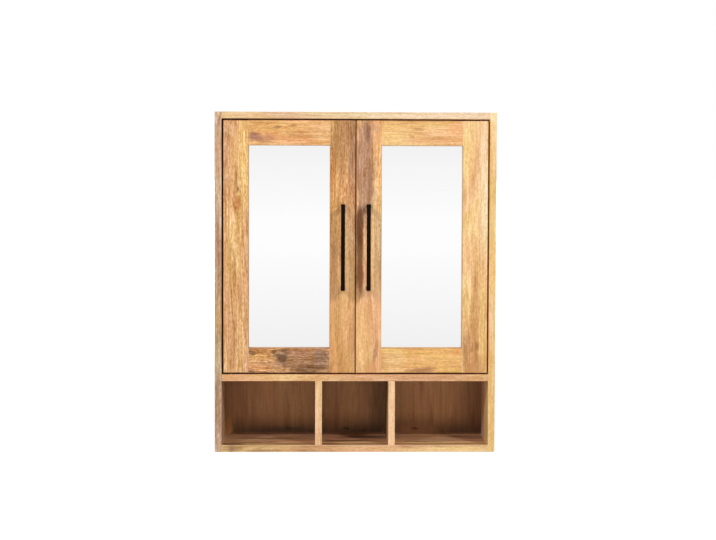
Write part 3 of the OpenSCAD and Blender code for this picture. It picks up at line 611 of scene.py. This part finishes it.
member("right_top_rail", "F2C790", "E2AB6B", "BB834D", cut=18.0, edge=0.3, grit=0.62, marks=[
    mark(232, 6, 22, 18, "EFAF76", 0.6), mark(148, 8, 12, 3, "C28E52", 0.7),
    mark(130, -8, 6, 3, "C28E52", 0.6), mark(80, 0, 20, 26, "F4C682", 0.6)])
member("right_bottom_rail", "F2C17E", "E4AA5E", "BA7F42", cut=19.0, edge=0.7, grit=0.7, marks=[
    mark(152, -560, 34, 6, "A8744C", 0.8, turn=-4), mark(90, -540, 26, 26, "EFC488", 0.6),
    mark(238, -515, 14, 8, "E89C54", 0.6), mark(190, -520, 36, 14, "F6C274", 0.5)])
member("right_hinge_stile", "FAD49E", "E9B678", "C0874D", cut=20.0, edge=0.1, grit=0.65,
       flecks=0.5, marks=[
           mark(300, -120, 8, 170, "FCE4BC", 0.5), mark(309, -170, 6, 80, "FBE0B4", 0.6, soft=0.7),
           mark(283, -80, 4, 80, "C99A5C", 0.35), mark(282, -430, 9, 110, "CF965C", 0.8, soft=0.6),
           mark(275, -512, 3, 6, "A56C38", 0.7, soft=0.9), mark(288, -505, 4, 8, "A06A34", 0.7, soft=0.9),
           mark(282, -560, 26, 34, "C88C54", 0.8), mark(263, -505, 13, 34, "BC8050", 0.85, soft=0.6),
           mark(301, -480, 6, 100, "E0B062", 0.6)])

# Mirrors
# Two panes of silvered glass laid into the rebates from behind: bright on the front, greenish
# at the ground edges and coated grey on the back. A thin brown board covers each from behind.
for side in ("left", "right"):
    glass = Finish(bpy.data.materials.new(side + "_silvered_glass"))
    toward = glass.part(glass.facing(), 1)
    bright = glass.step(toward, -0.5, -0.9)
    back = glass.step(toward, 0.5, 0.9)
    haze = glass.noise(glass.here(), 240.0)
    ground_edge = glass.mix(back, paint("8FB6A4"), glass.mix(haze, paint("6F7478"), paint("7C8286")))
    dress(side + "_mirror", glass.surface({
        "Base Color": glass.mix(bright, ground_edge, grey(0.985)), "Metallic": bright,
        "Roughness": 0.012 * bright + (1 - bright) * (0.25 + 0.3 * haze)}))
    wood(side + "_mirror_cover", "Z", "B98E66", "9C7350", "7A553A", cut=21.0, grit=0.5, wear_and_highlight=0.0, rough=0.65)

# Handles
# A black powder-coated square bar, bent back at both ends into legs that stand on the door.
# The bends are close but not sharp, and every arris is softly rounded.
BEND_OUTSIDE, BEND_INSIDE = 2.6 * MM, 1.4 * MM
BEND_STEPS = 6
BAR_ARRIS = 0.9 * MM
coat = Finish(bpy.data.materials.new("black_powder_coat"))
orange_peel = coat.noise(coat.here(), 1400.0)
dull = coat.noise(coat.here(), 60.0)
black_coat = coat.surface({
    "Base Color": coat.mix(dull, paint("0F0804"), paint("140B06")), "Roughness": 0.45 + 0.14 * dull,
    "Normal": coat.bump(orange_peel, 0.25, 0.2 * MM), "Specular IOR Level": 0.05})


def linked(name, mesh):
    """A new object with this mesh, in the scene."""
    made = bpy.data.objects.new(name, mesh)
    bpy.context.scene.collection.objects.link(made)
    return made


def rounded_path(corners):
    """The points of a closed outline in y and z, each corner (y, z, radius) turned into an arc."""
    points = []
    for i, (y, z, radius) in enumerate(corners):
        corner = Vector((y, z))
        before = (Vector(corners[i - 1][:2]) - corner).normalized()
        after = (Vector(corners[(i + 1) % len(corners)][:2]) - corner).normalized()
        if radius == 0:
            points.append(corner)
            continue
        centre = corner + (before + after) * radius
        for step in range(BEND_STEPS + 1):
            turn = math.pi / 2 * step / BEND_STEPS
            points.append(centre - after * radius * math.cos(turn) - before * radius * math.sin(turn))
    return points


for side in ("left", "right"):
    low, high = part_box(side + "_handle")
    bar = high.x - low.x
    outline = rounded_path([
        (high.y, low.z, 0), (low.y, low.z, BEND_OUTSIDE), (low.y, high.z, BEND_OUTSIDE), (high.y, high.z, 0),
        (high.y, high.z - bar, 0), (low.y + bar, high.z - bar, BEND_INSIDE),
        (low.y + bar, low.z + bar, BEND_INSIDE), (high.y, low.z + bar, 0)])
    count = len(outline)
    points = [(x, point.x, point.y) for x in (low.x, high.x) for point in outline]
    faces = [((i + 1) % count, i, i + count, (i + 1) % count + count) for i in range(count)]
    faces += [range(count), range(2 * count - 1, count - 1, -1)]
    mesh = bpy.data.meshes.new(side + "_handle_bar")
    mesh.from_pydata(points, [], faces)
    for polygon in mesh.polygons:
        polygon.use_smooth = True
    mesh.materials.append(black_coat)
    handle = linked(side + "_handle_bar", mesh)
    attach(handle, side + "_door")
    eased = handle.modifiers.new("arris", "BEVEL")
    eased.width = BAR_ARRIS
    eased.segments = 3
    eased.limit_method = "ANGLE"
    eased.angle_limit = math.radians(40)
    eased.harden_normals = True
    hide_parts(side + "_handle")


# Metal and plastic fittings
# Zinc-plated steel plates, pins, shelf supports and magnet poles, brass collars, and the brown
# moulded cases of the magnetic catches.
def metal(name, dark, colour, rough):
    """Plated metal, faintly clouded and brushed."""
    made = Finish(bpy.data.materials.new(name))
    cloud = made.noise(made.here(), 90.0, 3.0)
    brushed = made.noise(made.vector("MULTIPLY", made.here(), (0.08, 1.0, 1.0)), 2200.0)
    return made.surface({
        "Base Color": made.mix(cloud, paint(dark), paint(colour)), "Metallic": 1.0,
        "Roughness": rough + 0.15 * (cloud - 0.5), "Normal": made.bump(brushed, 0.15, 0.1 * MM)})


zinc = metal("zinc_plate", "B4B7BA", "D6D8DA", 0.34)
brass = metal("dark_brass", "4E3B24", "6E5330", 0.45)
moulded = Finish(bpy.data.materials.new("brown_moulding"))
sanded = moulded.noise(moulded.here(), 900.0)
brown_plastic = moulded.surface({
    "Base Color": moulded.mix(moulded.noise(moulded.here(), 50.0), paint("4C3222"), paint("5C3E2B")),
    "Roughness": 0.4 + 0.12 * sanded, "Normal": moulded.bump(sanded, 0.2, 0.2 * MM)})
for node in ("shelf_supports", "pivot_pins", "left_catch_magnet", "right_catch_magnet"):
    dress(node, zinc)
for side in ("left", "right"):
    dress(side + "_catch_case", brown_plastic)
    dress(side + "_strike_plate", zinc)
    for end in ("upper", "lower"):
        dress(f"{side}_{end}_pivot_plate", zinc)
        dress(f"{side}_{end}_bush_plate", zinc)
dress("pivot_collars", brass)

# Screws
# Cross-recessed steel screws. The tree below turns one screw from its sizes, cuts the recess and
# sets a copy in every hole of one kind, pointing the way that hole does.
SAME_POINT = 0.001 * MM
END_ZONE = 0.05 * MM
HEAD_SIDES, SHANK_SIDES = 32, 24
PAN_HEIGHT = 2.4 * MM
# Shares of the head's diameter. The block that cuts a slot stands half above the head.
COUNTERSUNK_SHANK, PAN_SHANK, PAN_TOP = 0.53, 0.5, 0.84
RECESS = {"Recess": 0.56, "Recess slot": 0.15, "Recess depth": 0.42}
SIZES = ["Length", "Shank", "Head base", "Head face", "Head height", *RECESS]


def solids(node):
    """The separate solids of a CAD node, each as the list of its points, in a fixed order."""
    shape = bmesh.new()
    shape.from_mesh(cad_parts[node].data)
    bmesh.ops.remove_doubles(shape, verts=shape.verts, dist=SAME_POINT)
    reached, found = set(), []
    for first in shape.verts:
        if first in reached:
            continue
        reached.add(first)
        group = [first]
        for vert in group:
            for link in vert.link_edges:
                other = link.other_vert(vert)
                if other not in reached:
                    reached.add(other)
                    group.append(other)
        found.append([vert.co.copy() for vert in group])
    shape.free()
    return sorted(found, key=lambda points: tuple(round(c, 4) for c in sum(points, Vector()) / len(points)))


def screw_of(points):
    """Where a screw's head face lies, which way it drives, its length and its head's diameter."""
    low = Vector([min(point[i] for point in points) for i in range(3)])
    high = Vector([max(point[i] for point in points) for i in range(3)])
    size = high - low
    axis = max(range(3), key=lambda i: size[i])
    middle = (low + high) / 2

    def radius(end):
        near = [point - middle for point in points if abs(point[axis] - end) < END_ZONE]
        return max(math.hypot(*[away[i] for i in range(3) if i != axis]) for away in near)

    at_low, at_high = radius(low[axis]), radius(high[axis])
    drive, face = Vector((0, 0, 0)), middle.copy()
    drive[axis] = 1 if at_low > at_high else -1
    face[axis] = low[axis] if at_low > at_high else high[axis]
    return face, drive, size[axis], 2 * max(at_low, at_high)


def screw_tree():
    """The nodes that make one screw from its sizes and put a copy on every point."""
    tree = bpy.data.node_groups.new("cross_recess_screw", "GeometryNodeTree")
    tree.interface.new_socket("Geometry", in_out="OUTPUT", socket_type="NodeSocketGeometry")
    tree.interface.new_socket("Geometry", in_out="INPUT", socket_type="NodeSocketGeometry")
    for name in SIZES:
        tree.interface.new_socket(name, in_out="INPUT", socket_type="NodeSocketFloat")
    tree.interface.new_socket("Finish", in_out="INPUT", socket_type="NodeSocketMaterial")
    screw = Nodes(tree)
    inputs = screw.node("NodeGroupInput").socket.node.outputs
    given = {socket.name: Value(screw, socket) for socket in inputs}

    def sunk(sides, top, bottom, depth):
        """A cone or a cylinder whose top lies in the head's face."""
        made = screw.node("GeometryNodeMeshCone", None, {
            "Vertices": sides, "Radius Top": given[top] * 0.5, "Radius Bottom": given[bottom] * 0.5,
            "Depth": given[depth]})
        down = screw.node("ShaderNodeCombineXYZ", None, {2: given[depth] * -1.0})
        return screw.node("GeometryNodeTransform", None, {0: made, "Translation": down})

    def joined(operation, sockets):
        settings = {"operation": operation, "solver": "MANIFOLD"}
        return screw.node("GeometryNodeMeshBoolean", settings, sockets)

    head = sunk(HEAD_SIDES, "Head face", "Head base", "Head height")
    shank = sunk(SHANK_SIDES, "Shank", "Shank", "Length")
    slots = []
    for turn in (0.0, math.pi / 2):
        size = screw.node("ShaderNodeCombineXYZ", None, {i: given[name] for i, name in enumerate(RECESS)})
        block = screw.node("GeometryNodeMeshCube", None, {"Size": size})
        slots.append(screw.node("GeometryNodeTransform", None, {0: block, "Rotation": (0, 0, turn)}))
    cut = joined("DIFFERENCE", {0: joined("UNION", {1: [head, shank]}), 1: slots})
    drive = screw.node("GeometryNodeInputNamedAttribute", {"data_type": "FLOAT_VECTOR"}, {"Name": "drive"})
    turned = screw.node("FunctionNodeAlignRotationToVector", {"axis": "Z"}, {"Vector": drive})
    placed = screw.node("GeometryNodeInstanceOnPoints", None, {
        "Points": given["Geometry"], "Instance": cut, "Rotation": turned})
    real = screw.node("GeometryNodeRealizeInstances", None, {0: placed})
    done = screw.node("GeometryNodeSetMaterial", None, {0: real, "Material": given["Finish"]})
    screw.node("NodeGroupOutput", None, {0: done})
    return tree


SCREW_TREE = screw_tree()


def set_screws(name, node, body, pan_height=0.0):
    """Sets finished screws in place of a CAD node of plain ones; a pan head stands on the wood."""
    screws = [screw_of(points) for points in solids(node)]
    length, face = (round(size, 6) for size in screws[0][2:])
    shank = face * (PAN_SHANK if pan_height else COUNTERSUNK_SHANK)
    mesh = bpy.data.meshes.new(name)
    mesh.from_pydata([screw[0] for screw in screws], [], [])
    out = mesh.attributes.new("drive", "FLOAT_VECTOR", "POINT")
    for row, screw in zip(out.data, screws):
        row.vector = -screw[1]
    made = linked(name, mesh)
    maker = made.modifiers.new("screws", "NODES")
    maker.node_group = SCREW_TREE
    given = {"Length": length, "Shank": shank, "Finish": zinc,
             "Head face": face * PAN_TOP if pan_height else face,
             "Head base": face if pan_height else shank,
             "Head height": pan_height or (face - shank) / 2}
    given.update({part: face * share for part, share in RECESS.items()})
    for socket in SCREW_TREE.interface.items_tree:
        if socket.in_out == "INPUT" and socket.name in given:
            maker[socket.identifier] = given[socket.name]
    graph = bpy.context.evaluated_depsgraph_get()
    finished = bpy.data.meshes.new_from_object(made.evaluated_get(graph))
    made.modifiers.remove(maker)
    made.data = finished
    bpy.data.meshes.remove(mesh)
    finished.name = name
    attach(made, body)
    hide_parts(node)


for kind in ("back_panel", "pivot_plate", "catch"):
    set_screws(kind + "_screw_set", kind + "_screws", "case")
for side in ("left", "right"):
    for kind in ("cover", "bush_plate", "strike"):
        set_screws(f"{side}_{kind}_screw_set", f"{side}_{kind}_screws", side + "_door")
    set_screws(f"{side}_handle_screw_set", f"{side}_handle_screws", side + "_door", PAN_HEIGHT)
